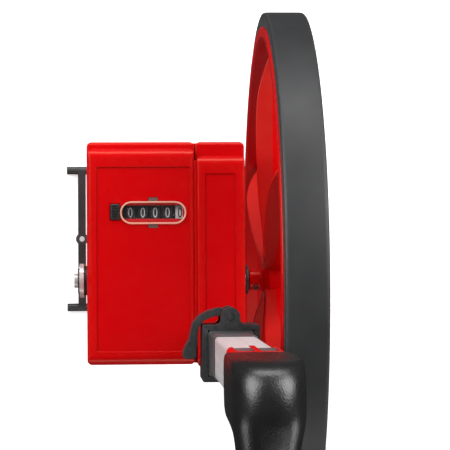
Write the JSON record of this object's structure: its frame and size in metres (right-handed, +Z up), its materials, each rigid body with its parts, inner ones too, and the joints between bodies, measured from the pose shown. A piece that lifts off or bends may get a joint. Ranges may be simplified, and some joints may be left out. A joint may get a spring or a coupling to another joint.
{
  "type": "measuring wheel",
  "caption": "Measuring wheel with a one metre tyre, a geared digit counter in a side housing, a swing-out stand and a telescopic square handle with a pistol grip.",
  "frame": {"origin": "on the ground under the middle of the instrument's box, as it stands on its tyre and its stand", "axes": "+Z up along the handle, +X along the axle from the counter to the wheel, +Y the direction of travel"},
  "size_m": [0.1486, 0.3184, 0.56],
  "materials": {
    "tyre_rubber": "satin black rubber",
    "red_plastic": "glossy moulded plastic",
    "black_plastic": "fine moulded texture",
    "grip_rubber": "soft rubber",
    "grey_plastic": "satin moulded plastic",
    "tube_aluminium": "satin anodised",
    "dark_aluminium": "dark anodised",
    "steel": "machined steel",
    "zinc_steel": "bright zinc plate",
    "blackened_steel": "black oxide",
    "bronze": "sintered bronze",
    "white_plastic": "natural acetal",
    "digit_black": "satin plastic",
    "digit_white": "satin plastic",
    "lens_clear": "clear polycarbonate"
  },
  "bodies": {
    "housing": {"housing_base": "red_plastic", "counter_cover": "red_plastic", "drive_cover": "red_plastic", "window_lens": "lens_clear", "cover_screws": "zinc_steel", "tube_screws": "blackened_steel", "outer_tube": "dark_aluminium", "clamp_collar": "black_plastic", "guide_sleeve": "grey_plastic", "lever_pin": "blackened_steel", "axle_bushes": "bronze", "gear_plate": "zinc_steel", "idler_pin": "steel", "counter_frame": "zinc_steel", "pinion_shaft": "steel", "stand_boss": "black_plastic", "stand_bolt": "zinc_steel", "spring_washer": "blackened_steel", "stand_insert": "bronze", "reset_spring": "steel"},
    "wheel": {"tyre": "tyre_rubber", "wheel_disc": "red_plastic", "axle": "steel", "hub_set_screw": "blackened_steel", "spacer_washer": "blackened_steel", "axle_washer": "zinc_steel", "axle_nut": "zinc_steel", "axle_gear": "white_plastic"},
    "idler": {"idler_gear": "white_plastic"},
    "units_drive": {"counter_gear": "white_plastic", "counter_shaft": "steel", "number_wheel_5": "digit_white"},
    "digit_4": {"number_wheel_4": "digit_black"},
    "digit_3": {"number_wheel_3": "digit_black"},
    "digit_2": {"number_wheel_2": "digit_black"},
    "digit_1": {"number_wheel_1": "digit_black"},
    "pinion_4": {"transfer_pinion_4": "white_plastic"},
    "pinion_3": {"transfer_pinion_3": "white_plastic"},
    "pinion_2": {"transfer_pinion_2": "white_plastic"},
    "pinion_1": {"transfer_pinion_1": "white_plastic"},
    "key": {"reset_key": "digit_black"},
    "lever": {"clamp_lever": "black_plastic"},
    "middle": {"middle_tube": "tube_aluminium", "middle_glide": "black_plastic", "upper_collar": "grey_plastic"},
    "handle": {"inner_tube": "tube_aluminium", "inner_glide": "black_plastic", "grip_ferrule": "red_plastic", "grip": "grip_rubber", "grip_pin": "steel"},
    "stand": {"stand_leg": "zinc_steel", "foot_bar": "blackened_steel"}
  },
  "joints": [
    {"name": "wheel_spin", "type": "hinge", "parent": "housing", "child": "wheel", "pos_m": [0.04575, 0, 0.15915], "axis": [1, 0, 0], "continuous": true},
    {"name": "idler_spin", "type": "hinge", "parent": "housing", "child": "idler", "pos_m": [0.01305, 0.01978, 0.18036], "axis": [1, 0, 0], "continuous": true},
    {"name": "units_spin", "type": "hinge", "parent": "housing", "child": "units_drive", "pos_m": [0.01305, 0.03956, 0.20157], "axis": [1, 0, 0], "continuous": true},
    {"name": "digit_4_spin", "type": "hinge", "parent": "housing", "child": "digit_4", "pos_m": [-0.01212, 0.03956, 0.20157], "axis": [1, 0, 0], "continuous": true},
    {"name": "pinion_4_spin", "type": "hinge", "parent": "housing", "child": "pinion_4", "pos_m": [-0.00912, 0.03956, 0.18887], "axis": [1, 0, 0], "continuous": true},
    {"name": "digit_3_spin", "type": "hinge", "parent": "housing", "child": "digit_3", "pos_m": [-0.01919, 0.03956, 0.20157], "axis": [1, 0, 0], "continuous": true},
    {"name": "pinion_3_spin", "type": "hinge", "parent": "housing", "child": "pinion_3", "pos_m": [-0.01619, 0.03956, 0.18887], "axis": [1, 0, 0], "continuous": true},
    {"name": "digit_2_spin", "type": "hinge", "parent": "housing", "child": "digit_2", "pos_m": [-0.02626, 0.03956, 0.20157], "axis": [1, 0, 0], "continuous": true},
    {"name": "pinion_2_spin", "type": "hinge", "parent": "housing", "child": "pinion_2", "pos_m": [-0.02326, 0.03956, 0.18887], "axis": [1, 0, 0], "continuous": true},
    {"name": "digit_1_spin", "type": "hinge", "parent": "housing", "child": "digit_1", "pos_m": [-0.03333, 0.03956, 0.20157], "axis": [1, 0, 0], "continuous": true},
    {"name": "pinion_1_spin", "type": "hinge", "parent": "housing", "child": "pinion_1", "pos_m": [-0.03033, 0.03956, 0.18887], "axis": [1, 0, 0], "continuous": true},
    {"name": "reset_press", "type": "slide", "parent": "housing", "child": "key", "axis": [0, 0, -1], "range_m": [0, 0.003], "stiffness_N_per_m": 900, "springref_m": -0.001, "deforming": ["reset_spring"]},
    {"name": "clamp_lever_swing", "type": "hinge", "parent": "housing", "child": "lever", "pos_m": [0.01945, -0.0177, 0.267], "axis": [0, 0, 1], "range_deg": [-110, 0]},
    {"name": "middle_slide", "type": "slide", "parent": "housing", "child": "middle", "axis": [0, 0, 1], "range_m": [0, 0.18]},
    {"name": "inner_slide", "type": "slide", "parent": "middle", "child": "handle", "axis": [0, 0, 1], "range_m": [0, 0.3]},
    {"name": "stand_swing", "type": "hinge", "parent": "housing", "child": "stand", "pos_m": [-0.06195, 0, 0.15915], "axis": [1, 0, 0], "range_deg": [0, 170]}
  ],
  "couplings": [
    {"joint": "idler_spin", "follows": "wheel_spin", "ratio": -0.70588},
    {"joint": "units_spin", "follows": "wheel_spin", "ratio": 1},
    {"joint": "digit_4_spin", "follows": "wheel_spin", "ratio": 0.1},
    {"joint": "pinion_4_spin", "follows": "wheel_spin", "ratio": -0.25},
    {"joint": "digit_3_spin", "follows": "wheel_spin", "ratio": 0.01},
    {"joint": "pinion_3_spin", "follows": "wheel_spin", "ratio": -0.025},
    {"joint": "digit_2_spin", "follows": "wheel_spin", "ratio": 0.001},
    {"joint": "pinion_2_spin", "follows": "wheel_spin", "ratio": -0.0025},
    {"joint": "digit_1_spin", "follows": "wheel_spin", "ratio": 0.0001},
    {"joint": "pinion_1_spin", "follows": "wheel_spin", "ratio": -0.00025}
  ]
}
